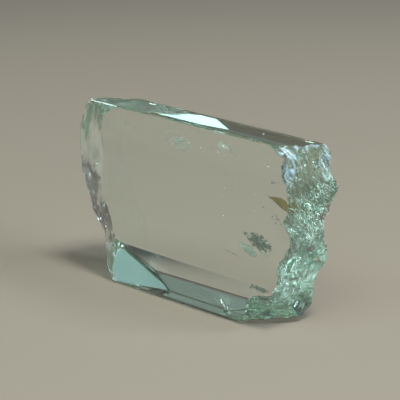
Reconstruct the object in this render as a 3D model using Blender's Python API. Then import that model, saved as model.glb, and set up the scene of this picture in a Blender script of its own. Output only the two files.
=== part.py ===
"""Hiddenite crystal: a flattened fragment of green spodumene, standing on its narrow edge.

The crystal is one solid. Its prism faces run along X, from the broken left end to the broken
right end. The broad clear face looks to -Y, and the flat foot that it rests on is at Z = 0.
Lengths are in metres, and the origin is the centre of the foot of the crystal's box.
"""

import math
import random

import bmesh
import bpy
from mathutils import Euler, Vector, noise

MM = 0.001

# The prism before its ends break. Thickness runs along Y and height along Z. The top falls to the
# back, the shoulder joins it to the back face, and the heel cuts under the back to the foot.
THICKNESS = 6.4 * MM
HEIGHT = 18.2 * MM
PRISM_LENGTH = 36.0 * MM
TOP_FALL = 0.85 * MM
SHOULDER_HEIGHT = 4.2 * MM
SHOULDER_DEPTH = 0.5 * MM
FOOT_CHAMFER = 0.22 * MM
HEEL_DEPTH = 2.07 * MM
HEEL_SLOPE = math.radians(45.0)
EDGE_WEAR = 0.12 * MM

# The undercut's upper edge on the back, as X and Z at each end, and its slope from the vertical.
UNDERCUT_LEFT = (-13.0 * MM, 3.2 * MM)
UNDERCUT_RIGHT = (13.0 * MM, 2.9 * MM)
UNDERCUT_SLOPE = math.radians(22.5)

# The flat face that cuts off the lower left corner of the back: a point on it, and the way it looks.
CORNER_POINT = (-7.95 * MM, 1.59 * MM, 1.64 * MM)
CORNER_OUTWARDS = (-0.256, 0.387, -0.886)

# Each broken end as rows of height, then X at the front, in the middle and at the back, in
# millimetres.
LEFT_END = (
    (0.0, -8.8, -9.6, -10.3),
    (1.3, -9.5, -10.2, -10.9),
    (4.6, -10.2, -11.2, -12.0),
    (7.4, -11.9, -12.4, -13.0),
    (11.2, -13.3, -13.3, -13.3),
    (13.8, -13.4, -13.3, -13.2),
    (16.0, -13.0, -12.9, -12.8),
    (17.3, -12.6, -12.2, -10.2),
    (18.2, -12.1, -11.5, -6.8),
)
RIGHT_END = (
    (0.0, 7.7, 10.9, 11.3),
    (1.2, 8.7, 11.5, 12.1),
    (2.5, 10.0, 11.9, 11.7),
    (4.1, 11.6, 12.4, 11.9),
    (6.2, 12.7, 13.2, 13.2),
    (9.6, 13.7, 14.0, 13.6),
    (13.5, 14.0, 14.2, 14.9),
    (16.4, 13.5, 14.3, 14.1),
    (18.2, 13.3, 14.2, 12.8),
)

# The break surfaces: grid spacing, how far a point leaves its place on the grid, and the
# splinters, each as width along Y, height along Z, step between neighbours and tilt.
LEFT_SPACING = 0.42 * MM
RIGHT_SPACING = 0.29 * MM
BREAK_JITTER = 0.30
BREAK_OVERSHOOT = 1.2 * MM
LEFT_SPLINTERS = (
    (3.4 * MM, 4.6 * MM, 0.12 * MM, 0.07),
    (1.6 * MM, 2.2 * MM, 0.03 * MM, 0.04),
)
RIGHT_SPLINTERS = (
    (2.2 * MM, 5.0 * MM, 0.36 * MM, 0.22),
    (0.95 * MM, 2.9 * MM, 0.26 * MM, 0.34),
    (0.6 * MM, 1.4 * MM, 0.07 * MM, 0.22),
)
SPLINTER_LEAN = math.radians(32.0)
LAYER_GAP = 7.3
CELL_SCATTER = 41.7
LEFT_GRIT = 0.01 * MM
RIGHT_GRIT = 0.012 * MM
LEFT_SEED = 5
RIGHT_SEED = 11

# A hollow in the upper right end, between its two frosted ridges.
HOLLOW_DEPTH = 0.55 * MM
HOLLOW_CENTRE = (0.3 * MM, 14.6 * MM)
HOLLOW_REACH = (1.9 * MM, 3.0 * MM)

# Under the right end the foot is broken away, rising to the right from this X.
LIFT_START = 4.6 * MM
LIFT_SLOPE = 0.075
LIFT_GRIT = 0.06 * MM
LIFT_LENGTH = 12.0 * MM
LIFT_SPACING = 0.5 * MM
LIFT_DEPTH = 5.0 * MM
LIFT_SEED = 23

# Shell-shaped chips on the long edges: X, Y and Z of the scoop's centre and its three radii, in
# millimetres.
CHIPS = (
    ((-12.3, -3.3, 18.1), (0.90, 0.50, 0.55)),
    ((12.9, -3.3, 17.9), (0.80, 0.45, 0.60)),
    ((9.3, -3.25, 18.3), (0.55, 0.30, 0.22)),
    ((11.4, 2.9, 17.35), (0.85, 0.45, 0.40)),
    ((2.1, 2.8, 17.5), (0.50, 0.30, 0.22)),
    ((6.2, -3.35, 0.7), (0.45, 0.26, 0.95)),
)
CHIP_ROUGHNESS = 0.10
CHIP_WAVES = 1.7
CHIP_TURN = (0.3, 0.2, 0.5)

FRONT = -THICKNESS / 2
BACK = THICKNESS / 2


def clear_scene():
    for obj in list(bpy.data.objects):
        bpy.data.objects.remove(obj, do_unlink=True)


def hiddenite_material():
    material = bpy.data.materials.new("hiddenite")
    material.use_nodes = True
    shader = material.node_tree.nodes["Principled BSDF"]
    shader.inputs["Base Color"].default_value = (0.62, 0.80, 0.68, 1.0)
    shader.inputs["Roughness"].default_value = 0.05
    shader.inputs["Metallic"].default_value = 0.0
    shader.inputs["IOR"].default_value = 1.66
    shader.inputs["Transmission Weight"].default_value = 1.0
    return material


def link_object(name, bm):
    mesh = bpy.data.meshes.new(name)
    bm.to_mesh(mesh)
    bm.free()
    obj = bpy.data.objects.new(name, mesh)
    bpy.context.scene.collection.objects.link(obj)
    return obj


def prism_section():
    """The corners of the section, as Y and Z, round from the front of the foot."""
    return (
        (FRONT, FOOT_CHAMFER),
        (FRONT + FOOT_CHAMFER, 0.0),
        (BACK, 0.0),
        (BACK, HEIGHT - SHOULDER_HEIGHT),
        (BACK - SHOULDER_DEPTH, HEIGHT - TOP_FALL),
        (FRONT, HEIGHT),
    )


def slice_face(bm, point, normal):
    """One more flat crystal face: what lies beyond it goes, and the cut is closed."""
    everything = bm.verts[:] + bm.edges[:] + bm.faces[:]
    sliced = bmesh.ops.bisect_plane(
        bm, geom=everything, plane_co=point, plane_no=normal, clear_outer=True, dist=1e-7
    )
    rim = [item for item in sliced["geom_cut"] if isinstance(item, bmesh.types.BMEdge)]
    bmesh.ops.contextual_create(bm, geom=rim)


def heel_face():
    """The steep face between the foot and the back, the same along the whole length."""
    point = (0.0, BACK - HEEL_DEPTH, 0.0)
    return point, (0.0, math.cos(HEEL_SLOPE), -math.sin(HEEL_SLOPE))


def undercut_face():
    """The shallow face above the heel, a little lower at the right end."""
    left = Vector((UNDERCUT_LEFT[0], BACK, UNDERCUT_LEFT[1]))
    right = Vector((UNDERCUT_RIGHT[0], BACK, UNDERCUT_RIGHT[1]))
    along = (right - left).normalized()
    downwards = Vector((0.0, -math.sin(UNDERCUT_SLOPE), -math.cos(UNDERCUT_SLOPE)))
    return left, along.cross(downwards).normalized()


def corner_face():
    return CORNER_POINT, Vector(CORNER_OUTWARDS).normalized()


def make_prism():
    """The unbroken prism: its section drawn out along X, its long edges slightly worn."""
    bm = bmesh.new()
    corners = [bm.verts.new((-PRISM_LENGTH / 2, y, z)) for y, z in prism_section()]
    section = bm.faces.new(corners)
    drawn = bmesh.ops.extrude_face_region(bm, geom=[section])["geom"]
    far_end = [item for item in drawn if isinstance(item, bmesh.types.BMVert)]
    bmesh.ops.translate(bm, verts=far_end, vec=(PRISM_LENGTH, 0.0, 0.0))
    bmesh.ops.recalc_face_normals(bm, faces=bm.faces)
    for point, normal in (heel_face(), undercut_face(), corner_face()):
        slice_face(bm, point, normal)
    long_edges = [e for e in bm.edges if abs(e.verts[0].co.x - e.verts[1].co.x) > MM]
    bmesh.ops.bevel(
        bm, geom=long_edges, offset=EDGE_WEAR, affect="EDGES", segments=1, profile=0.5, material=-1
    )
    return link_object("crystal", bm)


def between(rows, height):
    """The X of a broken end at the front, middle and back at this height, eased between rows."""
    low = rows[0]
    for high in rows[1:]:
        if height <= high[0] * MM or high is rows[-1]:
            share = (height / MM - low[0]) / (high[0] - low[0])
            share = min(max(share, 0.0), 1.0)
            eased = share * share * (3.0 - 2.0 * share)
            return [(a + (b - a) * eased) * MM for a, b in zip(low[1:], high[1:])]
        low = high


def splinter(y, z, width, height, step, tilt, layer):
    """One layer of splinters: every cell of the pattern is a flat, tilted step."""
    across = y * math.cos(SPLINTER_LEAN) + z * math.sin(SPLINTER_LEAN)
    along = z * math.cos(SPLINTER_LEAN) - y * math.sin(SPLINTER_LEAN)
    place = Vector((across / width, along / height, LAYER_GAP * layer))
    centre = noise.voronoi(place)[1][0]
    turn = noise.cell_vector(centre * CELL_SCATTER) * 2.0 - Vector((1.0, 1.0, 1.0))
    offset = place - centre
    return step * turn.z + tilt * (turn.x * offset.x * width + turn.y * offset.y * height)


def break_surface(rows, splinters, hollow):
    """A function that gives the X of a broken end at each Y and Z."""

    def surface(y, z):
        front, middle, back = between(rows, z)
        share = min(max((y - FRONT) / THICKNESS, 0.0), 1.0)
        x = front * (1.0 - share) * (1.0 - 2.0 * share)
        x += middle * 4.0 * share * (1.0 - share) + back * share * (2.0 * share - 1.0)
        for layer, (width, height, step, tilt) in enumerate(splinters):
            x += splinter(y, z, width, height, step, tilt, layer)
        reach = math.hypot(
            (y - HOLLOW_CENTRE[0]) / HOLLOW_REACH[0], (z - HOLLOW_CENTRE[1]) / HOLLOW_REACH[1]
        )
        return x - hollow * math.exp(-reach * reach)

    return surface


def rough_block(name, corner, size, spacing, seed, place, depth):
    """A cutter: a rough sheet, set out by place(u, v, draw), drawn out by the vector depth."""
    draw = random.Random(seed)
    counts = [max(2, round(length / spacing)) for length in size]
    bm = bmesh.new()
    bmesh.ops.create_grid(bm, x_segments=counts[0], y_segments=counts[1], size=0.5)
    for vert in bm.verts:
        inside = not vert.is_boundary
        u, v = (
            corner[i] + size[i] * (vert.co[i] + 0.5)
            + inside * spacing * BREAK_JITTER * draw.uniform(-1.0, 1.0)
            for i in range(2)
        )
        vert.co = place(u, v, draw)
    bmesh.ops.triangulate(bm, faces=bm.faces, quad_method="SHORT_EDGE", ngon_method="BEAUTY")
    drawn = bmesh.ops.extrude_face_region(bm, geom=bm.faces[:])["geom"]
    moved = [item for item in drawn if isinstance(item, bmesh.types.BMVert)]
    bmesh.ops.translate(bm, verts=moved, vec=depth)
    bmesh.ops.recalc_face_normals(bm, faces=bm.faces)
    return as_cutter(link_object(name, bm))


def as_cutter(obj):
    obj.hide_render = True
    obj.display_type = "WIRE"
    return obj


def end_cutter(name, surface, spacing, grit, seed, outwards):
    """The cutter that breaks one end of the prism along surface(y, z)."""

    def place(y, z, draw):
        return (surface(y, z) + grit * draw.uniform(-1.0, 1.0), y, z)

    corner = (FRONT - BREAK_OVERSHOOT, -BREAK_OVERSHOOT)
    size = (THICKNESS + 2 * BREAK_OVERSHOOT, HEIGHT + 2 * BREAK_OVERSHOOT)
    depth = (outwards * PRISM_LENGTH, 0.0, 0.0)
    return rough_block(name, corner, size, spacing, seed, place, depth)


def lift_cutter():
    """The cutter that breaks away the foot under the right end."""

    def place(x, y, draw):
        run = x - LIFT_START
        grit = LIFT_GRIT if run > LIFT_SPACING else 0.0
        return (x, y, LIFT_SLOPE * run + grit * draw.uniform(-1.0, 1.0))

    corner = (LIFT_START - MM, FRONT - MM)
    size = (LIFT_LENGTH, THICKNESS + 2 * MM)
    depth = (0.0, 0.0, -LIFT_DEPTH)
    return rough_block("foot_break", corner, size, LIFT_SPACING, LIFT_SEED, place, depth)


def chip_cutter(index, centre, radii):
    """A shell-shaped scoop, a roughened ball."""
    bm = bmesh.new()
    bmesh.ops.create_icosphere(bm, subdivisions=2, radius=1.0)
    for vert in bm.verts:
        wave = noise.noise(vert.co * CHIP_WAVES + Vector((LAYER_GAP * index, 0.0, 0.0)))
        vert.co *= 1.0 + CHIP_ROUGHNESS * wave
    bmesh.ops.scale(bm, vec=[radius * MM for radius in radii], verts=bm.verts)
    spin = Euler([angle * index for angle in CHIP_TURN]).to_matrix()
    bmesh.ops.rotate(bm, matrix=spin, verts=bm.verts)
    bmesh.ops.translate(bm, vec=[value * MM for value in centre], verts=bm.verts)
    return as_cutter(link_object(f"chip_{index + 1}", bm))


def cut(crystal, cutter):
    boolean = crystal.modifiers.new(cutter.name, "BOOLEAN")
    boolean.operation = "DIFFERENCE"
    boolean.object = cutter


def centre_on_foot(crystal, cutters):
    """Hangs everything on one empty, and moves it so that the crystal's box is centred on Z."""
    holder = bpy.data.objects.new("placement", None)
    bpy.context.scene.collection.objects.link(holder)
    for obj in (crystal, *cutters):
        obj.parent = holder
    bpy.context.view_layer.update()
    solid = crystal.evaluated_get(bpy.context.evaluated_depsgraph_get())
    along_x = [corner[0] for corner in solid.bound_box]
    holder.location.x = -(min(along_x) + max(along_x)) / 2
    bpy.context.view_layer.update()


def main():
    clear_scene()
    crystal = make_prism()
    crystal.data.materials.append(hiddenite_material())
    left = break_surface(LEFT_END, LEFT_SPLINTERS, 0.0)
    right = break_surface(RIGHT_END, RIGHT_SPLINTERS, HOLLOW_DEPTH)
    cutters = [
        end_cutter("left_break", left, LEFT_SPACING, LEFT_GRIT, LEFT_SEED, -1),
        end_cutter("right_break", right, RIGHT_SPACING, RIGHT_GRIT, RIGHT_SEED, 1),
        lift_cutter(),
    ]
    cutters += [chip_cutter(i, centre, radii) for i, (centre, radii) in enumerate(CHIPS)]
    for cutter in cutters:
        cut(crystal, cutter)
    centre_on_foot(crystal, cutters)


main()
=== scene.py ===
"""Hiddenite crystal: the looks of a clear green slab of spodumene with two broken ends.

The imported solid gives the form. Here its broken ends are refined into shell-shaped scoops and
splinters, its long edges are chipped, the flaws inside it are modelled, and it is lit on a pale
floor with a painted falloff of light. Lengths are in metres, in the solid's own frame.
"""

import math
import random
from itertools import accumulate

import bmesh
import bpy
from bpy.props import FloatProperty, FloatVectorProperty, IntProperty, PointerProperty
from mathutils import Euler, Matrix, Vector, noise


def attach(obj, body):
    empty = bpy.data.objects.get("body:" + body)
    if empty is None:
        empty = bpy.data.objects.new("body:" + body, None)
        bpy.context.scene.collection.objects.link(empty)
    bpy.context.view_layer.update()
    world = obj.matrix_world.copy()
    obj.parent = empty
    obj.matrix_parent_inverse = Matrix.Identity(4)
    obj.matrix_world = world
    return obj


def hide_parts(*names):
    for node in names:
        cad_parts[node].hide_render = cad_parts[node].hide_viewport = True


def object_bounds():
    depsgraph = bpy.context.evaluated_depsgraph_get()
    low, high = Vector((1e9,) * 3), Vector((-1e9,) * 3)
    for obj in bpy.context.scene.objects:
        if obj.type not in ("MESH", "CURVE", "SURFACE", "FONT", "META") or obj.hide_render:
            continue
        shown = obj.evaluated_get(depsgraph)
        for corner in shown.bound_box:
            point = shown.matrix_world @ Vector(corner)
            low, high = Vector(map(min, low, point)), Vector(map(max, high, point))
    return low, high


bl_info = {
    "name": "Hiddenite Crystal",
    "version": (1, 0, 0),
    "blender": (4, 5, 0),
    "location": "View3D > Sidebar > Hiddenite",
    "description": "Dresses the hiddenite crystal: broken ends, chipped edges, inner flaws and studio",
    "category": "Object",
}

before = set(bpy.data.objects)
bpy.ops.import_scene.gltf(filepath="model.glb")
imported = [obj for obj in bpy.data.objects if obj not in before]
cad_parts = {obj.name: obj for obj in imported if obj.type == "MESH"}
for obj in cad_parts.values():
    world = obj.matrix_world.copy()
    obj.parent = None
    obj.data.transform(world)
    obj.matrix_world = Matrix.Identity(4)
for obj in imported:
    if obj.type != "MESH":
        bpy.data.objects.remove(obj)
CAD_LOW, CAD_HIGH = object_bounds()
NODE = "crystal"
MM = 0.001

FRONT = CAD_LOW.y
BACK = CAD_HIGH.y
TOP = CAD_HIGH.z
MERGE_DISTANCE = 0.00001 * MM

# A crystal face of the solid is large, hardly looks along X and is flat to within a hair. All but
# the one that cuts off the lower left corner lie along X.
FACE_AREA = 0.4 * MM * MM
FACE_TILT = 0.3
FLATNESS = 0.0015 * MM
ALONG_X = 0.01
# What is rough and lies beyond these X belongs to a broken end, and to a chip otherwise.
LEFT_BREAK = -6.5 * MM
RIGHT_BREAK = 7.0 * MM

# Where small chips sit: Y and Z of the prism's long edges, and how far along X they reach.
TOP_BACK = (BACK - 0.5 * MM, TOP - 0.85 * MM)
CHIPPED_EDGES = ((FRONT, TOP), TOP_BACK, (FRONT, 0.1 * MM))
CHIPPED_RUN = (-11.5 * MM, 12.4 * MM)
CHIP_SEED = 41
CHIP_SIZES = (0.03 * MM, 0.10 * MM)
# Where a chip sits in its share of the edge, how uneven and stretched it is, and how it is turned.
CHIP_PLACE = (0.1, 0.9)
CHIP_UNEVEN = (0.88, 1.0)
CHIP_LENGTH = (1.2, 2.4)
CHIP_HEIGHT = (0.7, 1.1)
CHIP_SPIN = (-0.5, 0.5)
# Worn places that catch the light: the middle of each scoop, its half length along X and its radius.
WORN_SPOTS = (
    (-11.9 * MM, FRONT - 0.13 * MM, TOP + 0.22 * MM, 1.5 * MM, 0.34 * MM),
    (-9.9 * MM, FRONT - 0.14 * MM, TOP + 0.24 * MM, 1.3 * MM, 0.34 * MM),
    (-8.15 * MM, 1.6 * MM, 17.78 * MM, 0.34 * MM, 0.30 * MM),
    (11.7 * MM, 1.7 * MM, 17.72 * MM, 0.45 * MM, 0.30 * MM),
    (7.3 * MM, 0.3 * MM, 17.83 * MM, 0.10 * MM, 0.13 * MM),
)
WORN_UNEVEN = (0.985, 1.0)

# The broken ends are covered in shell-shaped scoops that meet at sharp ridges. Each layer of scoops
# has their width, length and depth, and the length leans from upright towards the front.
UPPER_LEAN = math.radians(33.0)
LOWER_LEAN = math.radians(-42.0)
RIGHT_SCOOPS = (
    (1.05 * MM, 2.8 * MM, 0.30 * MM),
    (0.46 * MM, 1.3 * MM, 0.22 * MM),
    (0.21 * MM, 0.65 * MM, 0.12 * MM),
)
FROSTED_SCOOPS = ((0.12 * MM, 0.4 * MM, 0.09 * MM),)
LEFT_SCOOPS = ((2.4 * MM, 3.6 * MM, 0.05 * MM),)
# The height over which the lower lean gives way to the upper one.
LEAN_CHANGE = (8.5 * MM, 11.5 * MM)
# How often each break is evened out along X: inside and along its rim while coarse, and once fine.
RIGHT_EVENING = (3, 3, 2)
LEFT_EVENING = (14, 5, 6)
BREAK_CREASE = math.radians(30.0)
LAYER_GAP = 9.7
# What each scoop is lowered by, so that the break keeps its mean place.
SCOOP_MEAN = 0.3
# How much fainter the scoops are in the middle of a smooth zone.
SMOOTHING = 0.6

# How frosted the chips are, and the right break all over and in a frosted zone on top of that.
CHIP_FROST = 0.25
RIGHT_FROST = 0.12
ZONE_FROST = 0.9
# How frosted the left break is on average, how far its patches vary and their limits.
LEFT_FROST = 0.42
PATCH_FROST = 0.3
LEFT_LIMITS = (0.15, 0.7)
PATCH_SIZE = 1.6 * MM

# Zones of the right end: Y and Z of the centre, and the reach along Y and Z.
FROSTED_CORNER = (-2.5 * MM, 16.6 * MM, 1.4 * MM, 2.4 * MM)
FROSTED_RIM = (2.5 * MM, 16.0 * MM, 0.9 * MM, 2.2 * MM)
FROSTED_TOP = (0.6 * MM, 17.9 * MM, 2.8 * MM, 0.6 * MM)
SMOOTH_HOLLOW = (0.5 * MM, 15.2 * MM, 1.5 * MM, 2.0 * MM)
SMOOTH_FOOT = (0.6 * MM, 1.6 * MM, 3.2 * MM, 1.8 * MM)


class CrystalSettings(bpy.types.PropertyGroup):
    body_colour: FloatVectorProperty(
        name="Body colour",
        description="What the crystal lets through: the lower a channel, the faster it fades",
        subtype="COLOR",
        size=3,
        min=0.0,
        max=1.0,
        default=(0.567, 0.847, 0.69),
    )
    body_depth: FloatProperty(
        name="Depth of colour",
        description="How fast the colour builds up with the way through the crystal",
        min=0.0,
        default=30.0,
    )
    ior: FloatProperty(
        name="IOR",
        description="Refractive index of spodumene",
        min=1.0,
        default=1.66,
    )
    polish: FloatProperty(
        name="Face roughness",
        description="Roughness of the flat prism faces",
        subtype="FACTOR",
        min=0.0,
        max=1.0,
        default=0.012,
    )
    frost: FloatProperty(
        name="Break roughness",
        description="Roughness of the most frosted parts of the breaks",
        subtype="FACTOR",
        min=0.0,
        max=1.0,
        default=0.5,
    )
    right_cuts: IntProperty(
        name="Right end cuts",
        description="How many times each edge of the right break is cut before it is splintered",
        min=0,
        default=6,
    )
    left_cuts: IntProperty(
        name="Left end cuts",
        description="How many times each edge of the left break is cut before it is splintered",
        min=0,
        default=3,
    )
    relief: FloatProperty(
        name="Splinter relief",
        description="Scales the depth of the fine splinters on the breaks",
        min=0.0,
        default=1.0,
    )
    chips: IntProperty(
        name="Chips on an edge",
        description="Number of small chips along each long edge",
        min=0,
        default=9,
    )


class FlawSettings(bpy.types.PropertyGroup):
    veil_dark: FloatVectorProperty(
        name="Veil, dark",
        description="Colour of the healed cracks that show dark",
        subtype="COLOR",
        size=3,
        min=0.0,
        max=1.0,
        default=(0.30, 0.34, 0.29),
    )
    veil_pale: FloatVectorProperty(
        name="Veil, pale",
        description="Colour of the healed cracks that catch the light",
        subtype="COLOR",
        size=3,
        min=0.0,
        max=1.0,
        default=(0.80, 0.96, 0.82),
    )
    # Painted reflection: the golden wedge is a plate painted golden where a golden reflection shows
    # beside the broken end.
    painted_reflection_colour: FloatVectorProperty(
        name="Wedge",
        description="Colour of the golden wedge beside the broken end",
        subtype="COLOR",
        size=3,
        min=0.0,
        max=1.0,
        default=(0.56, 0.48, 0.22),
    )
    crack_colour: FloatVectorProperty(
        name="Cracks",
        description="Colour of the small open cracks and bubbles",
        subtype="COLOR",
        size=3,
        min=0.0,
        max=1.0,
        default=(0.85, 0.97, 0.90),
    )
    # Partly painted light: the crushed splinters are white of their own, and their blue tint is a
    # painted cool reflection.
    crushed_white_and_cool_sheen_colour: FloatVectorProperty(
        name="Crushed splinters",
        description="Colour of the crushed white splinters at the frosted corner and on worn edges",
        subtype="COLOR",
        size=3,
        min=0.0,
        max=1.0,
        default=(0.77, 0.94, 1.0),
    )
    crushed: IntProperty(
        name="Crushed splinters",
        description="Number of white splinters on the frosted parts of the right break",
        min=0,
        default=2000,
    )
    sparkles: IntProperty(
        name="Bright splinters",
        description="Number of bright splinters on the rest of the right break",
        min=0,
        default=260,
    )
    density: FloatProperty(
        name="Amount",
        description="Scales how many grains the clouds of small flaws have",
        min=0.0,
        default=1.0,
    )
    grain: FloatProperty(
        name="Grain size",
        description="Scales the size of the small flaws",
        min=0.1,
        default=1.0,
    )


class StageSettings(bpy.types.PropertyGroup):
    floor_colour: FloatVectorProperty(
        name="Floor colour",
        description="Colour of the plain floor",
        subtype="COLOR",
        size=3,
        min=0.0,
        max=1.0,
        default=(0.47, 0.38, 0.305),
    )
    # Painted falloff of light: the floor is painted darker and cooler towards this colour, away from the
    # crystal.
    painted_falloff_colour: FloatVectorProperty(
        name="Far floor",
        description="Colour that the floor fades to, away from the crystal",
        subtype="COLOR",
        size=3,
        min=0.0,
        max=1.0,
        default=(0.12, 0.14, 0.145),
    )
    horizon_colour: FloatVectorProperty(
        name="Horizon",
        description="Colour of the sky at the horizon",
        subtype="COLOR",
        size=3,
        min=0.0,
        max=1.0,
        default=(0.153, 0.132, 0.115),
    )
    zenith_colour: FloatVectorProperty(
        name="Zenith",
        description="Colour of the sky overhead",
        subtype="COLOR",
        size=3,
        min=0.0,
        max=1.0,
        default=(0.03, 0.035, 0.04),
    )
    sky_power: FloatProperty(
        name="Sky",
        description="Strength of the even light from all round",
        min=0.0,
        default=1.0,
    )
    light_power: FloatProperty(
        name="Soft lights",
        description="Scales the power of all the soft lights",
        min=0.0,
        default=1.0,
    )


def reach(y, z, zone):
    """How far a point of a break belongs to a zone: 1 at its centre, fading outwards."""
    centre_y, centre_z, reach_y, reach_z = zone
    return math.exp(-(((y - centre_y) / reach_y) ** 2) - ((z - centre_z) / reach_z) ** 2)


def scoops(y, z, layers, lean):
    """How far scoops that lean by this angle raise the surface at a point of a break."""
    across = y * math.cos(lean) + z * math.sin(lean)
    along = z * math.cos(lean) - y * math.sin(lean)
    raised = 0.0
    for index, (width, length, depth) in enumerate(layers):
        place = Vector((across / width, along / length, LAYER_GAP * index + lean))
        raised += depth * (noise.voronoi(place)[0][0] ** 2 - SCOOP_MEAN)
    return raised


def right_frost(y, z):
    """How frosted the right break is at a point, from 0, glassy, to 1."""
    frosted = reach(y, z, FROSTED_CORNER) + reach(y, z, FROSTED_RIM) + reach(y, z, FROSTED_TOP)
    return min(RIGHT_FROST + ZONE_FROST * frosted, 1.0)


def left_frost(y, z):
    """The left break is smooth and a little dull, with duller patches."""
    patch = noise.noise(Vector((y, z, 0.0)) / PATCH_SIZE)
    return min(max(LEFT_FROST + PATCH_FROST * patch, LEFT_LIMITS[0]), LEFT_LIMITS[1])


def right_relief(y, z):
    """The scoops lean one way above and the other way below, and are faint where it is smooth."""
    share = min(max((z - LEAN_CHANGE[0]) / (LEAN_CHANGE[1] - LEAN_CHANGE[0]), 0.0), 1.0)
    upper = share * share * (3.0 - 2.0 * share)
    raised = 0.0
    for part, lean in ((upper, UPPER_LEAN), (1.0 - upper, LOWER_LEAN)):
        if part > 0.0:
            raised += part * scoops(y, z, RIGHT_SCOOPS, lean)
    smooth = max(reach(y, z, SMOOTH_HOLLOW), reach(y, z, SMOOTH_FOOT))
    raised *= 1.0 - SMOOTHING * smooth
    frost = right_frost(y, z)
    return raised + frost * scoops(y, z, FROSTED_SCOOPS, UPPER_LEAN)


def left_relief(y, z):
    return scoops(y, z, LEFT_SCOOPS, UPPER_LEAN)


def merged_solid():
    """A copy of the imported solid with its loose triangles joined."""
    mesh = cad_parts[NODE].data.copy()
    mesh.attributes.remove(mesh.attributes["custom_normal"])
    bm = bmesh.new()
    bm.from_mesh(mesh)
    bpy.data.meshes.remove(mesh)
    bmesh.ops.remove_doubles(bm, verts=bm.verts, dist=MERGE_DISTANCE)
    return bm


def link_mesh(name, bm):
    mesh = bpy.data.meshes.new(name)
    bm.to_mesh(mesh)
    bm.free()
    obj = bpy.data.objects.new(name, mesh)
    bpy.context.scene.collection.objects.link(obj)
    return obj


def chip_scoops(count):
    """Small roughened balls along the long edges, which leave shell-shaped chips."""
    draw = random.Random(CHIP_SEED)
    bm = bmesh.new()
    for y, z in CHIPPED_EDGES:
        for slot in range(count):
            share = (slot + draw.uniform(*CHIP_PLACE)) / count
            x = CHIPPED_RUN[0] + (CHIPPED_RUN[1] - CHIPPED_RUN[0]) * share
            size = CHIP_SIZES[0] + (CHIP_SIZES[1] - CHIP_SIZES[0]) * draw.random() ** 2
            ball = bmesh.ops.create_icosphere(bm, subdivisions=2, radius=size)["verts"]
            for vert in ball:
                vert.co *= draw.uniform(*CHIP_UNEVEN)
            stretch = (draw.uniform(*CHIP_LENGTH), 1.0, draw.uniform(*CHIP_HEIGHT))
            bmesh.ops.scale(bm, vec=stretch, verts=ball)
            spin = Euler([draw.uniform(*CHIP_SPIN) for _ in range(3)]).to_matrix()
            bmesh.ops.rotate(bm, matrix=spin, verts=ball)
            bmesh.ops.translate(bm, vec=(x, y, z), verts=ball)
    for x, y, z, half_length, radius in WORN_SPOTS:
        ball = bmesh.ops.create_icosphere(bm, subdivisions=3, radius=radius)["verts"]
        for vert in ball:
            vert.co *= draw.uniform(*WORN_UNEVEN)
        bmesh.ops.scale(bm, vec=(half_length / radius, 1.0, 1.0), verts=ball)
        bmesh.ops.translate(bm, vec=(x, y, z), verts=ball)
    return link_mesh("chip_scoops", bm)


def chipped(bm, count):
    """The same solid with small chips out of its long edges."""
    body = link_mesh("chipped_body", bm)
    cutters = chip_scoops(count)
    cut = body.modifiers.new("chips", "BOOLEAN")
    cut.operation = "DIFFERENCE"
    cut.object = cutters
    bpy.context.view_layer.update()
    evaluated = body.evaluated_get(bpy.context.evaluated_depsgraph_get())
    result = bmesh.new()
    result.from_mesh(evaluated.data)
    for obj in (body, cutters):
        mesh = obj.data
        bpy.data.objects.remove(obj)
        bpy.data.meshes.remove(mesh)
    return result


def prism_planes(bm):
    """A point and the normal of every prism face."""
    planes = []
    for face in bm.faces:
        if face.calc_area() > FACE_AREA and abs(face.normal.x) < FACE_TILT:
            point, normal = face.verts[0].co.copy(), face.normal.copy()
            if not any(on_plane(face, plane) for plane in planes):
                planes.append((point, normal))
    return planes


def on_plane(face, plane):
    point, normal = plane
    return all(abs((vert.co - point).dot(normal)) < FLATNESS for vert in face.verts)


def mark_faces(bm):
    """Makes each prism face whole, and stores what the rest is: 1 right break, -1 left, 2 chip."""
    kind = bm.faces.layers.int.new("kind")
    rough = list(bm.faces)
    prism = []
    for plane in prism_planes(bm):
        prism.append([face for face in rough if on_plane(face, plane)])
        taken = set(prism[-1])
        rough = [face for face in rough if face not in taken]
    for face in rough:
        x = face.calc_center_median().x
        face[kind] = 1 if x > RIGHT_BREAK else -1 if x < LEFT_BREAK else 2
    for flat in prism:
        bmesh.ops.dissolve_faces(bm, faces=flat)


def faces_of(bm, kind):
    layer = bm.faces.layers.int["kind"]
    return [face for face in bm.faces if face[layer] == kind]


def free_verts(bm, side):
    """The points of a break that can move along X and stay on the crystal faces beside it."""
    bm.normal_update()
    kind = bm.faces.layers.int["kind"]
    verts = dict.fromkeys(vert for face in faces_of(bm, side) for vert in face.verts)
    return [
        vert for vert in verts
        if all(face[kind] or abs(face.normal.x) < ALONG_X for face in vert.link_faces)
    ]


def even_out(bm, side, inside_passes, rim_passes):
    """Evens a break out along X, so that its rim stays on the prism faces."""
    faces = set(faces_of(bm, side))
    verts = free_verts(bm, side)
    inner = [vert for vert in verts if all(face in faces for face in vert.link_faces)]
    rim = set(verts).difference(inner)
    neighbours = {vert: [edge.other_vert(vert) for edge in vert.link_edges] for vert in rim}
    neighbours = {vert: [n for n in near if n in rim] for vert, near in neighbours.items()}
    for _ in range(rim_passes):
        even = {vert: sum(n.co.x for n in near) / len(near) for vert, near in neighbours.items() if near}
        for vert, x in even.items():
            vert.co.x += 0.5 * (x - vert.co.x)
    for _ in range(inside_passes):
        bmesh.ops.smooth_vert(bm, verts=inner, factor=0.5, use_axis_x=True)


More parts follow.
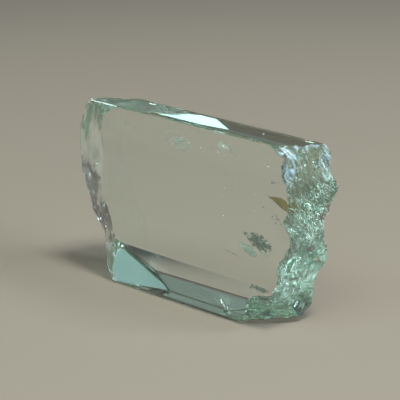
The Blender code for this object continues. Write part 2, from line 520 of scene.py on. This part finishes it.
def refine_break(bm, side, cuts, relief, scale, evening):
    """Cuts one broken end finer, softens it and adds its scoops along X."""
    inside_passes, rim_passes, fine_passes = evening
    even_out(bm, side, inside_passes, rim_passes)
    edges = list(dict.fromkeys(edge for face in faces_of(bm, side) for edge in face.edges))
    bmesh.ops.subdivide_edges(bm, edges=edges, cuts=cuts, use_grid_fill=True)
    even_out(bm, side, fine_passes, 0)
    for vert in free_verts(bm, side):
        vert.co.x += side * scale * relief(vert.co.y, vert.co.z)


def paint_frost(mesh):
    """Stores on each face how frosted it is: 0 on the prism faces."""
    frost = mesh.attributes.new("frost", "FLOAT", "FACE")
    kinds = mesh.attributes["kind"].data
    sides = {1: right_frost, -1: left_frost}
    for face in mesh.polygons:
        kind = kinds[face.index].value
        face.use_smooth = kind != 0
        if kind in sides:
            frost.data[face.index].value = sides[kind](face.center.y, face.center.z)
        elif kind:
            frost.data[face.index].value = CHIP_FROST


def node(tree, kind, **values):
    made = tree.nodes.new(kind)
    for name, value in values.items():
        setattr(made, name, value)
    return made


def crystal_material(settings):
    material = bpy.data.materials.new("clear_hiddenite")
    material.use_nodes = True
    tree = material.node_tree
    shader = tree.nodes["Principled BSDF"]
    shader.inputs["Base Color"].default_value = (1.0, 1.0, 1.0, 1.0)
    shader.inputs["IOR"].default_value = settings.ior
    shader.inputs["Transmission Weight"].default_value = 1.0
    frost = node(tree, "ShaderNodeAttribute", attribute_name="frost")
    roughness = node(tree, "ShaderNodeMapRange")
    roughness.inputs["To Min"].default_value = settings.polish
    roughness.inputs["To Max"].default_value = settings.frost
    tree.links.new(frost.outputs["Fac"], roughness.inputs["Value"])
    tree.links.new(roughness.outputs["Result"], shader.inputs["Roughness"])
    body = node(tree, "ShaderNodeVolumeAbsorption")
    body.inputs["Color"].default_value = (*settings.body_colour, 1.0)
    body.inputs["Density"].default_value = settings.body_depth
    tree.links.new(body.outputs["Volume"], tree.nodes["Material Output"].inputs["Volume"])
    return material


class HIDDENITE_OT_crystal(bpy.types.Operator):
    """Builds the crystal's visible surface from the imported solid"""

    bl_idname = "hiddenite.crystal"
    bl_label = "Crystal"

    def execute(self, context):
        settings = context.scene.hiddenite_crystal
        bm = chipped(merged_solid(), settings.chips)
        mark_faces(bm)
        scale = settings.relief
        refine_break(bm, 1, settings.right_cuts, right_relief, scale, RIGHT_EVENING)
        refine_break(bm, -1, settings.left_cuts, left_relief, scale, LEFT_EVENING)
        bmesh.ops.triangulate(bm, faces=bm.faces)
        piece = link_mesh("crystal_body", bm)
        piece.data.set_sharp_from_angle(angle=BREAK_CREASE)
        paint_frost(piece.data)
        piece.data.materials.append(crystal_material(settings))
        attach(piece, "root")
        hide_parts(NODE)
        return {"FINISHED"}


# Clouds of small flaws. Each has its middle, its half length and half height, its slope down along X
# and its turn away from the front face in degrees, how many grains it has, and the largest half
# length, height and thickness of a grain.
DARK_VEIL = (
    (Vector((9.00, -0.5, 8.05)) * MM, (1.50 * MM, 0.75 * MM), 17.0, 14.0, 240, (0.34, 0.18, 0.012)),
    (Vector((7.30, -0.6, 8.55)) * MM, (0.60 * MM, 0.25 * MM), 20.0, 14.0, 22, (0.20, 0.10, 0.012)),
    (Vector((11.2, -1.0, 10.8)) * MM, (0.80 * MM, 0.50 * MM), 40.0, 10.0, 26, (0.18, 0.12, 0.012)),
    (Vector((11.0, -1.2, 14.3)) * MM, (0.70 * MM, 0.10 * MM), -8.0, 8.0, 14, (0.22, 0.06, 0.012)),
    (Vector((9.50, -0.8, 11.6)) * MM, (0.12 * MM, 0.10 * MM), 0.0, 0.0, 5, (0.14, 0.10, 0.012)),
    (Vector((9.10, -1.0, 3.60)) * MM, (1.30 * MM, 0.30 * MM), 4.0, 12.0, 60, (0.28, 0.12, 0.012)),
)
PALE_VEIL = (
    (Vector((7.60, -0.7, 7.10)) * MM, (1.25 * MM, 0.45 * MM), 22.0, 17.0, 170, (0.28, 0.13, 0.006)),
    (Vector((9.60, -0.8, 7.20)) * MM, (0.80 * MM, 0.22 * MM), 22.0, 17.0, 24, (0.24, 0.06, 0.006)),
    (Vector((9.10, -0.7, 8.10)) * MM, (1.20 * MM, 0.50 * MM), 17.0, 17.0, 26, (0.20, 0.06, 0.006)),
)
WISPS = (
    (Vector((5.60, -1.0, 6.35)) * MM, (1.80 * MM, 0.05 * MM), 9.0, 4.0, 40, (0.26, 0.02, 0.01)),
    (Vector((1.20, -1.2, 5.90)) * MM, (1.60 * MM, 0.04 * MM), 2.0, 4.0, 20, (0.24, 0.015, 0.01)),
)
BUBBLES = (
    (Vector((-0.78, -2.1, 16.05)) * MM, (1.70 * MM, 0.90 * MM), 10.0, 17.0, 260, (0.13, 0.10, 0.005)),
    (Vector((5.20, -2.0, 16.60)) * MM, (1.20 * MM, 0.55 * MM), 15.0, 17.0, 80, (0.12, 0.09, 0.005)),
    (Vector((-7.40, -2.2, 16.40)) * MM, (1.70 * MM, 0.50 * MM), 12.0, 17.0, 50, (0.08, 0.06, 0.005)),
    (Vector((2.00, -2.2, 16.30)) * MM, (9.00 * MM, 1.10 * MM), 0.0, 0.0, 60, (0.08, 0.06, 0.005)),
    (Vector((4.00, -0.5, 11.0)) * MM, (7.50 * MM, 5.50 * MM), 0.0, 0.0, 50, (0.08, 0.06, 0.005)),
)
# Single cracks: middle, half length, half height and half thickness, slope in degrees.
CRACKS = (
    (Vector((8.95, -1.9, 2.62)) * MM, (0.70, 0.07, 0.008), -8.0),
    (Vector((8.30, -1.9, 2.45)) * MM, (0.24, 0.07, 0.008), -38.0),
    (Vector((10.05, -1.9, 2.55)) * MM, (0.34, 0.10, 0.008), 62.0),
    (Vector((5.30, -2.3, 1.20)) * MM, (0.62, 0.08, 0.008), 62.0),
    (Vector((5.75, -2.3, 0.95)) * MM, (0.48, 0.07, 0.008), 55.0),
    (Vector((4.95, -2.3, 1.45)) * MM, (0.34, 0.06, 0.008), 70.0),
    (Vector((10.2, -1.1, 15.6)) * MM, (0.10, 0.10, 0.008), 0.0),
    (Vector((8.50, -1.0, 12.6)) * MM, (0.09, 0.08, 0.008), 0.0),
    (Vector((5.10, -2.3, 16.8)) * MM, (0.09, 0.08, 0.008), 0.0),
    (Vector((-13.0, -2.4, 13.9)) * MM, (0.13, 0.12, 0.008), 20.0),
    (Vector((-12.1, -2.3, 11.6)) * MM, (0.24, 0.09, 0.008), -20.0),
)
# How far the flat flaws lean back and turn, which lets them catch the light of the front window.
FLAW_PITCH = math.radians(-21.0)
FLAW_TURN = math.radians(17.0)
# How unevenly the flat flaws of each kind lie, in radians, and how they spin in their own plane.
VEIL_SCATTER = 0.12
BUBBLE_SCATTER = 0.05
FLAW_SPIN = 0.35
CLOUD_SEED = 7
# How flaws crowd the middle of a cloud, how far they stray from its sheet, how their sizes vary, and
# how much smaller they are at its rim.
CROWDING = 0.7
SHEET_STRAY = 0.03 * MM
FLAW_SIZES = (0.3, 1.0)
RIM_SHRINK = 0.5
# The half length from which a grain is a finer ball, and how uneven grains and plates are.
LARGE_GRAIN = 0.08 * MM
GRAIN_UNEVEN = (0.75, 1.0)
PLATE_CORNERS = 8
PLATE_TAPER = 0.85
PLATE_UNEVEN = (0.7, 1.0)
# Stands a flat plate up, so that it faces the front.
UPRIGHT = Matrix.Rotation(math.radians(90.0), 3, "X")
# How many small pieces are built as one part before the parts are gathered.
PART_COUNT = 40
FLAW_CREASE = math.radians(50.0)
# The least and the most of a flaw's roughness, as shares of its mean.
DULLNESS = (0.6, 1.4)
MOTTLE_DETAIL = 3.0
# The golden wedge, a plate painted with a golden reflection: its outline in X and Z, its depth and its
# thickness.
WEDGE_OUTLINE = (
    (10.45, 12.90), (10.95, 13.02), (11.60, 13.10), (12.30, 13.06), (12.78, 12.90),
    (12.90, 12.45), (12.78, 11.95), (12.20, 12.10), (11.50, 12.46), (10.90, 12.76),
)
WEDGE_DEPTH = -1.7 * MM
WEDGE_THICKNESS = 0.10 * MM
WEDGE_ROUNDING = 0.3 * WEDGE_THICKNESS


def add_grain(bm, middle, half_sizes, turn, draw):
    """One small flaw: a flattened, uneven ball."""
    detail = 2 if max(half_sizes) > LARGE_GRAIN else 1
    ball = bmesh.ops.create_icosphere(bm, subdivisions=detail, radius=1.0)["verts"]
    for vert in ball:
        vert.co *= draw.uniform(*GRAIN_UNEVEN)
    bmesh.ops.scale(bm, vec=(half_sizes[0], half_sizes[2], half_sizes[1]), verts=ball)
    bmesh.ops.rotate(bm, matrix=turn, verts=ball)
    bmesh.ops.translate(bm, vec=middle, verts=ball)


def add_plate(bm, middle, half_sizes, turn, draw):
    """One small open gap: a thin plate with flat sides and an uneven rim."""
    verts = bmesh.ops.create_cone(
        bm, cap_ends=True, segments=PLATE_CORNERS, radius1=1.0, radius2=PLATE_TAPER, depth=2.0,
    )["verts"]
    for vert in verts:
        share = draw.uniform(*PLATE_UNEVEN)
        vert.co.x *= share
        vert.co.y *= share
    bmesh.ops.scale(bm, vec=half_sizes, verts=verts)
    bmesh.ops.rotate(bm, matrix=UPRIGHT, verts=verts)
    bmesh.ops.rotate(bm, matrix=turn, verts=verts)
    bmesh.ops.translate(bm, vec=middle, verts=verts)


def gathered(parts):
    """One mesh of many small ones, which is faster than to let a single one grow."""
    bm = bmesh.new()
    for part in parts:
        mesh = bpy.data.meshes.new("part")
        part.to_mesh(mesh)
        part.free()
        bm.from_mesh(mesh)
        bpy.data.meshes.remove(mesh)
    return bm


def cloud_mesh(clouds, settings, scatter, add_one):
    """Flaws scattered over tilted, lens-shaped sheets, denser towards their middles."""
    draw = random.Random(CLOUD_SEED)
    parts = []
    leaning = Euler((FLAW_PITCH, 0.0, FLAW_TURN)).to_matrix()
    for middle, (length, height), slope, turn, count, grain in clouds:
        sheet = Euler((0.0, math.radians(slope), math.radians(turn))).to_matrix()
        for index in range(round(count * settings.density)):
            if index % PART_COUNT == 0:
                parts.append(bmesh.new())
            radius = draw.random() ** CROWDING
            angle = draw.uniform(0.0, 2.0 * math.pi)
            x = radius * length * math.cos(angle)
            z = radius * height * math.sin(angle)
            place = middle + sheet @ Vector((x, draw.gauss(0.0, SHEET_STRAY), z))
            size = draw.uniform(*FLAW_SIZES) * (1.0 - RIM_SHRINK * radius) * settings.grain * MM
            spin = math.radians(slope) + draw.gauss(0.0, FLAW_SPIN)
            tip = Euler((draw.gauss(0.0, scatter), spin, draw.gauss(0.0, scatter))).to_matrix()
            add_one(parts[-1], place, [size * half for half in grain], leaning @ tip, draw)
    return gathered(parts)


def crack_mesh(settings):
    draw = random.Random(CLOUD_SEED)
    bm = bmesh.new()
    leaning = Euler((FLAW_PITCH, 0.0, FLAW_TURN)).to_matrix()
    for middle, half_sizes, slope in CRACKS:
        turn = leaning @ Euler((0.0, math.radians(slope), 0.0)).to_matrix()
        add_plate(bm, middle, [half * settings.grain * MM for half in half_sizes], turn, draw)
    return bm


def wedge_mesh():
    """A leaf-shaped plate with rounded edges."""
    bm = bmesh.new()
    rim = [bm.verts.new((x * MM, WEDGE_DEPTH, z * MM)) for x, z in WEDGE_OUTLINE]
    bm.faces.new(rim)
    grown = bmesh.ops.extrude_face_region(bm, geom=bm.faces[:])["geom"]
    verts = [item for item in grown if isinstance(item, bmesh.types.BMVert)]
    bmesh.ops.translate(bm, vec=(0.0, WEDGE_THICKNESS, 0.0), verts=verts)
    bmesh.ops.recalc_face_normals(bm, faces=bm.faces)
    bmesh.ops.bevel(
        bm, geom=bm.edges, offset=WEDGE_ROUNDING, segments=2, profile=0.5,
        affect="EDGES", material=-1,
    )
    return bm


def flaw_material(name, colour, other, mottle, roughness, mirror):
    """A mottled finish for flaws and splinters. A gap full of air shines like a mirror."""
    material = bpy.data.materials.new(name)
    material.use_nodes = True
    tree = material.node_tree
    shader = tree.nodes["Principled BSDF"]
    shader.inputs["Metallic"].default_value = mirror
    place = node(tree, "ShaderNodeTexCoord")
    spots = node(tree, "ShaderNodeTexNoise")
    spots.inputs["Scale"].default_value = 1.0 / mottle
    spots.inputs["Detail"].default_value = MOTTLE_DETAIL
    blend = node(tree, "ShaderNodeMix", data_type="RGBA")
    blend.inputs["A"].default_value = (*colour, 1.0)
    blend.inputs["B"].default_value = (*other, 1.0)
    dull = node(tree, "ShaderNodeMapRange")
    dull.inputs["To Min"].default_value = DULLNESS[0] * roughness
    dull.inputs["To Max"].default_value = DULLNESS[1] * roughness
    tree.links.new(place.outputs["Object"], spots.inputs["Vector"])
    tree.links.new(spots.outputs["Fac"], blend.inputs["Factor"])
    tree.links.new(blend.outputs["Result"], shader.inputs["Base Color"])
    tree.links.new(spots.outputs["Fac"], dull.inputs["Value"])
    tree.links.new(dull.outputs["Result"], shader.inputs["Roughness"])
    return material


def scaled(colour, factor):
    return [min(channel * factor, 1.0) for channel in colour]


def add_flaw(name, bm, material):
    """Links one finished flaw piece, which rides with the crystal."""
    piece = link_mesh(name, bm)
    piece.data.shade_smooth()
    piece.data.set_sharp_from_angle(angle=FLAW_CREASE)
    piece.data.materials.append(material)
    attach(piece, "root")


class HIDDENITE_OT_veils(bpy.types.Operator):
    """Adds the healed cracks inside the crystal: dark islands, pale islands and thin wisps"""

    bl_idname = "hiddenite.veils"
    bl_label = "Veils"

    def execute(self, context):
        settings = context.scene.hiddenite_flaws
        dark = flaw_material(
            "dark_veil_film", settings.veil_dark, scaled(settings.veil_dark, 2.0),
            mottle=0.3 * MM, roughness=0.4, mirror=0.0,
        )
        pale = flaw_material(
            "pale_veil_film", settings.veil_pale, scaled(settings.veil_pale, 0.7),
            mottle=0.3 * MM, roughness=0.35, mirror=1.0,
        )
        add_flaw("dark_veil", cloud_mesh(DARK_VEIL, settings, VEIL_SCATTER, add_grain), dark)
        add_flaw("pale_veil", cloud_mesh(PALE_VEIL, settings, BUBBLE_SCATTER, add_plate), pale)
        add_flaw("wisps", cloud_mesh(WISPS, settings, VEIL_SCATTER, add_grain), dark)
        return {"FINISHED"}


class HIDDENITE_OT_bubbles(bpy.types.Operator):
    """Adds the clouds of bubbles and the small open cracks"""

    bl_idname = "hiddenite.bubbles"
    bl_label = "Bubbles and cracks"

    def execute(self, context):
        settings = context.scene.hiddenite_flaws
        bright = flaw_material(
            "bright_crack", settings.crack_colour, scaled(settings.crack_colour, 0.8),
            mottle=0.1 * MM, roughness=0.2, mirror=1.0,
        )
        add_flaw("bubbles", cloud_mesh(BUBBLES, settings, BUBBLE_SCATTER, add_plate), bright)
        add_flaw("open_cracks", crack_mesh(settings), bright)
        return {"FINISHED"}


class HIDDENITE_OT_wedge(bpy.types.Operator):
    """Adds the golden wedge beside the broken right end: a plate painted with a golden reflection"""

    bl_idname = "hiddenite.wedge"
    bl_label = "Golden wedge"

    def execute(self, context):
        # The plate's golden colour is a painted reflection.
        colour = context.scene.hiddenite_flaws.painted_reflection_colour
        golden = flaw_material(
            "painted_golden_reflection", colour, scaled(colour, 1.4), mottle=0.5 * MM, roughness=0.35, mirror=0.3,
        )
        add_flaw("painted_golden_reflection", wedge_mesh(), golden)
        return {"FINISHED"}


# Bruises where the crystal is crushed to white flakes: the middle, snapped to the surface, how far
# the flakes stray from it along X, Y and Z in millimetres, and how many there are.
BRUISES = (
    ((12.95, -2.90, 18.12), (0.36, 0.22, 0.10), 46),
    ((11.70, 1.75, 17.60), (0.50, 0.10, 0.08), 26),
    ((-8.60, 1.60, 17.75), (0.36, 0.10, 0.08), 20),
    ((7.30, 0.30, 17.75), (0.06, 0.06, 0.04), 4),
    ((-10.90, -3.20, 18.18), (2.10, 0.03, 0.03), 150),
)
# Flakes and the slivers on the break: largest half length, half width and half thickness.
FLAKE = (0.10 * MM, 0.055 * MM, 0.012 * MM)
FROST_SLIVER = (0.22 * MM, 0.034 * MM, 0.012 * MM)
BRIGHT_SLIVER = (0.30 * MM, 0.026 * MM, 0.010 * MM)
FLAKE_SIZES = (0.4, 1.0)
SLIVER_SIZES = (0.35, 1.0)
# Where flakes and slivers face, which lets them catch the key window, and how widely they vary.
GLINT_FACING = Vector((0.59, -0.443, 0.673))
FLAKE_SCATTER = 0.11
SLIVER_SCATTER = 0.3
# How far the slivers' direction strays from the scoops', in radians.
LEAN_SCATTER = 0.3
# Above this height the right break lies beyond this X, and what comes before it are chips.
BREAK_START = (12.3 * MM, 15.0 * MM)
# How far splinters keep from the front and the back face, so that none stands out past them.
RIM_MARGIN = 0.10 * MM
# Where bright slivers lie on the break: Y and Z of the centre, and the reach along Y and Z.
SPARKLES = (
    (0.3 * MM, 9.6 * MM, 2.4 * MM, 2.2 * MM),
    (-1.2 * MM, 5.6 * MM, 2.2 * MM, 2.6 * MM),
    (2.2 * MM, 11.5 * MM, 1.0 * MM, 2.4 * MM),
)
SLIVER_SEED = 19
# Each sliver takes the highest of so many places.
RIDGE_CHOICES = 5
# How crushed the frosted zones are beside the corner.
CRUSHED_BASE = 0.35
SPLINTER_ROUGHNESS = 0.42


def lying(along, outwards):
    """A turn whose first axis follows a direction as nearly as a surface allows."""
    flat = (along - outwards * along.dot(outwards)).normalized()
    return Matrix((flat, outwards.cross(flat), outwards)).transposed()


def add_sliver(bm, middle, half_sizes, turn):
    """One splinter: a ball of twenty faces drawn out to a needle."""
    ball = bmesh.ops.create_icosphere(bm, subdivisions=1, radius=1.0)["verts"]
    bmesh.ops.scale(bm, vec=half_sizes, verts=ball)
    bmesh.ops.rotate(bm, matrix=turn, verts=ball)
    bmesh.ops.translate(bm, vec=middle, verts=ball)


def lean_at(z):
    return UPPER_LEAN if z > sum(LEAN_CHANGE) / 2 else LOWER_LEAN


def along_break(z, draw):
    lean = lean_at(z) + draw.gauss(0.0, LEAN_SCATTER)
    return Vector((0.0, -math.sin(lean), math.cos(lean)))


def ridge_height(face):
    """How high a face of the right break stands above the scoops around it."""
    y, z = face.center.y, face.center.z
    return scoops(y, z, RIGHT_SCOOPS[1:], lean_at(z))


def facing(scatter, draw):
    """A direction near the one that the flakes face."""
    return (GLINT_FACING + Vector([draw.gauss(0.0, scatter) for _ in range(3)])).normalized()


def lay_slivers(faces, weight, count, largest, draw):
    """Slivers on the highest of a few faces drawn by weight, which depends on Y and Z."""
    totals = list(accumulate(face.area * weight(face.center.y, face.center.z) for face in faces))
    parts = []
    for index in range(count):
        if index % PART_COUNT == 0:
            parts.append(bmesh.new())
        face = max(draw.choices(faces, cum_weights=totals, k=RIDGE_CHOICES), key=ridge_height)
        size = draw.uniform(*SLIVER_SIZES)
        turn = lying(along_break(face.center.z, draw), facing(SLIVER_SCATTER, draw))
        add_sliver(parts[-1], face.center, [size * half for half in largest], turn)
    return gathered(parts)


def crushed_share(y, z):
    return right_frost(y, z) ** 3 * (CRUSHED_BASE + reach(y, z, FROSTED_CORNER))


def sparkle_share(y, z):
    return sum(reach(y, z, zone) for zone in SPARKLES)


def break_faces(body):
    kinds = body.data.attributes["kind"].data
    start, height = BREAK_START
    return [
        face for face in body.data.polygons
        if kinds[face.index].value == 1 and (face.center.x > start or face.center.z < height)
        and FRONT + RIM_MARGIN < face.center.y < BACK - RIM_MARGIN
    ]


def splinter_material(name, colour, mirror):
    return flaw_material(
        name, colour, scaled(colour, 0.75), mottle=0.2 * MM, roughness=SPLINTER_ROUGHNESS, mirror=mirror,
    )


def bruise_mesh(body, draw):
    """Flakes strewn over the worn and crushed places of the edges."""
    bm = bmesh.new()
    for middle, spread, count in BRUISES:
        for _ in range(count):
            place = [(at + draw.uniform(-far, far)) * MM for at, far in zip(middle, spread)]
            _, place, _, _ = body.closest_point_on_mesh(place)
            size = draw.uniform(*FLAKE_SIZES)
            turn = lying(Vector((1.0, 0.0, 0.0)), facing(FLAKE_SCATTER, draw))
            add_sliver(bm, place, [size * half for half in FLAKE], turn)
    return bm


class HIDDENITE_OT_splinters(bpy.types.Operator):
    """Adds the white splinters on the right break and the worn places on the edges"""

    bl_idname = "hiddenite.splinters"
    bl_label = "White splinters"

    def execute(self, context):
        settings = context.scene.hiddenite_flaws
        draw = random.Random(SLIVER_SEED)
        body = bpy.data.objects["crystal_body"]
        faces = break_faces(body)
        # The white of these splinters is their own; their blue tint is a painted cool reflection.
        white = splinter_material("crushed", settings.crushed_white_and_cool_sheen_colour, mirror=0.4)
        worn = splinter_material("worn_spot", settings.crack_colour, mirror=0.8)
        bright = splinter_material("bright_splinter", settings.crack_colour, mirror=0.8)
        crushed = lay_slivers(faces, crushed_share, settings.crushed, FROST_SLIVER, draw)
        add_flaw("crushed_splinters", crushed, white)
        add_flaw("worn_spots", bruise_mesh(body, draw), worn)
        glints = lay_slivers(faces, sparkle_share, settings.sparkles, BRIGHT_SLIVER, draw)
        add_flaw("bright_splinters", glints, bright)
        return {"FINISHED"}


STAGE_MIDDLE = Vector((0.0, 0.0, 10.0)) * MM
COOL = (0.74, 0.90, 1.0)
SOFT = (0.86, 0.97, 0.95)
MINT = (0.58, 0.93, 0.96)
# Each soft light: its bearing from +Y towards +X and its height in degrees, its distance, width and
# height in metres, its brightness and its colour.
SOFT_LIGHTS = {
    "key_window": (105.0, 66.0, 0.55, 0.12, 0.12, 34.0, SOFT),
    "front_window": (150.0, 58.0, 0.55, 0.20, 0.20, 5.0, SOFT),
    "high_window": (-176.0, 49.0, 0.5, 0.16, 0.14, 3.6, MINT),
    "low_window": (-169.0, 34.0, 0.6, 0.20, 0.12, 0.45, MINT),
    "left_low": (-124.0, 36.0, 0.6, 0.18, 0.14, 0.20, SOFT),
    "glint_low": (85.0, 14.0, 0.5, 0.16, 0.09, 21.0, COOL),
    "right_back": (62.0, 45.0, 0.6, 0.18, 0.14, 12.0, COOL),
}


def soft_light(name, bearing, height, distance, width, length, brightness, colour):
    light = bpy.data.lights.new(name, "AREA")
    light.shape = "RECTANGLE"
    light.size = width
    light.size_y = length
    light.energy = brightness * math.pi * width * length
    light.color = colour
    lamp = bpy.data.objects.new(name, light)
    bpy.context.scene.collection.objects.link(lamp)
    bearing, height = math.radians(bearing), math.radians(height)
    back = Vector((
        math.sin(bearing) * math.cos(height),
        math.cos(bearing) * math.cos(height),
        math.sin(height),
    ))
    lamp.location = STAGE_MIDDLE + back * distance
    lamp.rotation_euler = back.to_track_quat("Z", "Y").to_euler()


# The photograph's view, in its 400 by 400 frame.
VIEW_AZIMUTH = math.radians(44.1)
VIEW_ELEVATION = math.radians(17.0)
VIEW_DISTANCE = 190.0 * MM
VIEW_TARGET = Vector((-0.574, 0.0, 9.71)) * MM
FOCAL_LENGTH_PIXELS = 1975.0
FRAME_PIXELS = 400.0
SENSOR_MM = 36.0
NEAREST = 1.0 * MM


def camera():
    back = Vector((
        math.sin(VIEW_AZIMUTH) * math.cos(VIEW_ELEVATION),
        -math.cos(VIEW_AZIMUTH) * math.cos(VIEW_ELEVATION),
        math.sin(VIEW_ELEVATION),
    ))
    data = bpy.data.cameras.new("camera")
    data.sensor_width = SENSOR_MM
    data.lens = FOCAL_LENGTH_PIXELS * SENSOR_MM / FRAME_PIXELS
    data.clip_start = NEAREST
    eye = bpy.data.objects.new("camera", data)
    bpy.context.scene.collection.objects.link(eye)
    eye.location = VIEW_TARGET + back * VIEW_DISTANCE
    eye.rotation_euler = back.to_track_quat("Z", "Y").to_euler()
    bpy.context.scene.camera = eye


FOOT_GAP = 0.04 * MM
FLOOR_SIZE = 3.0
# Painted falloff of light: how far from the crystal the floor starts to darken, and where it is darkest.
FLOOR_PAINTED_FALLOFF = (80.0 * MM, 290.0 * MM)
FLOOR_ROUGHNESS = 0.6
FLOOR_GLOSS = 0.1
# The upward share of a direction from which the sky has its overhead colour.
SKY_FADE = 0.7
MAX_BOUNCES = 32
TRANSMISSION_BOUNCES = 24
GLOSSY_BOUNCES = 16


def floor_material(settings):
    """A matt floor with a painted falloff of light: it fades to a cooler, darker tone away from the
    crystal.
    """
    material = bpy.data.materials.new("pale_floor")
    material.use_nodes = True
    tree = material.node_tree
    shader = tree.nodes["Principled BSDF"]
    shader.inputs["Roughness"].default_value = FLOOR_ROUGHNESS
    shader.inputs["Specular IOR Level"].default_value = FLOOR_GLOSS
    place = node(tree, "ShaderNodeTexCoord")
    away = node(tree, "ShaderNodeVectorMath", operation="LENGTH")
    fade = node(tree, "ShaderNodeMapRange", interpolation_type="SMOOTHSTEP")
    fade.inputs["From Min"].default_value = FLOOR_PAINTED_FALLOFF[0]
    fade.inputs["From Max"].default_value = FLOOR_PAINTED_FALLOFF[1]
    blend = node(tree, "ShaderNodeMix", data_type="RGBA")
    blend.inputs["A"].default_value = (*settings.floor_colour, 1.0)
    blend.inputs["B"].default_value = (*settings.painted_falloff_colour, 1.0)
    tree.links.new(place.outputs["Object"], away.inputs[0])
    tree.links.new(away.outputs["Value"], fade.inputs["Value"])
    tree.links.new(fade.outputs["Result"], blend.inputs["Factor"])
    tree.links.new(blend.outputs["Result"], shader.inputs["Base Color"])
    return material


def sky_world(settings):
    """An even, dim sky that is darker overhead."""
    world = bpy.data.worlds.new("sky")
    world.use_nodes = True
    tree = world.node_tree
    direction = node(tree, "ShaderNodeTexCoord")
    axes = node(tree, "ShaderNodeSeparateXYZ")
    height = node(tree, "ShaderNodeMapRange")
    height.inputs["From Min"].default_value = 0.0
    height.inputs["From Max"].default_value = SKY_FADE
    blend = node(tree, "ShaderNodeMix", data_type="RGBA")
    blend.inputs["A"].default_value = (*settings.horizon_colour, 1.0)
    blend.inputs["B"].default_value = (*settings.zenith_colour, 1.0)
    tree.links.new(direction.outputs["Generated"], axes.inputs["Vector"])
    tree.links.new(axes.outputs["Z"], height.inputs["Value"])
    tree.links.new(height.outputs["Result"], blend.inputs["Factor"])
    light = tree.nodes["Background"]
    tree.links.new(blend.outputs["Result"], light.inputs["Color"])
    light.inputs["Strength"].default_value = settings.sky_power
    return world


class HIDDENITE_OT_stage(bpy.types.Operator):
    """Sets the pale floor with its painted falloff of light, the soft lights, the even sky and the
    camera
    """

    bl_idname = "hiddenite.stage"
    bl_label = "Stage"

    def execute(self, context):
        scene = context.scene
        settings = scene.hiddenite_stage
        bm = bmesh.new()
        bmesh.ops.create_grid(bm, x_segments=1, y_segments=1, size=FLOOR_SIZE / 2)
        bmesh.ops.translate(bm, vec=(0.0, 0.0, -FOOT_GAP), verts=bm.verts)
        floor = link_mesh("floor", bm)
        floor.data.materials.append(floor_material(settings))
        scene.world = sky_world(settings)
        for name, (*place, brightness, colour) in SOFT_LIGHTS.items():
            soft_light(name, *place, brightness * settings.light_power, colour)
        camera()
        scene.view_settings.view_transform = "Standard"
        scene.cycles.max_bounces = MAX_BOUNCES
        scene.cycles.transmission_bounces = TRANSMISSION_BOUNCES
        scene.cycles.glossy_bounces = GLOSSY_BOUNCES
        return {"FINISHED"}


class HIDDENITE_PT_panel(bpy.types.Panel):
    """Lists the crystal's pieces and the stage"""

    bl_idname = "HIDDENITE_PT_panel"
    bl_label = "Hiddenite Crystal"
    bl_space_type = "VIEW_3D"
    bl_region_type = "UI"
    bl_category = "Hiddenite"

    def draw(self, context):
        scene = context.scene
        for group in (scene.hiddenite_crystal, scene.hiddenite_flaws, scene.hiddenite_stage):
            for name in group.__annotations__:
                self.layout.prop(group, name)
        for operator in OPERATORS:
            self.layout.operator(operator.bl_idname)


OPERATORS = (
    HIDDENITE_OT_crystal,
    HIDDENITE_OT_veils,
    HIDDENITE_OT_bubbles,
    HIDDENITE_OT_wedge,
    HIDDENITE_OT_splinters,
    HIDDENITE_OT_stage,
)
CLASSES = (CrystalSettings, FlawSettings, StageSettings, *OPERATORS, HIDDENITE_PT_panel)


def register():
    for cls in CLASSES:
        bpy.utils.register_class(cls)
    bpy.types.Scene.hiddenite_crystal = PointerProperty(type=CrystalSettings)
    bpy.types.Scene.hiddenite_flaws = PointerProperty(type=FlawSettings)
    bpy.types.Scene.hiddenite_stage = PointerProperty(type=StageSettings)


def unregister():
    del bpy.types.Scene.hiddenite_crystal
    del bpy.types.Scene.hiddenite_flaws
    del bpy.types.Scene.hiddenite_stage
    for cls in reversed(CLASSES):
        bpy.utils.unregister_class(cls)


def main():
    register()
    bpy.ops.hiddenite.crystal()
    bpy.ops.hiddenite.veils()
    bpy.ops.hiddenite.bubbles()
    bpy.ops.hiddenite.wedge()
    bpy.ops.hiddenite.splinters()
    bpy.ops.hiddenite.stage()


if __name__ == "__main__":
    main()
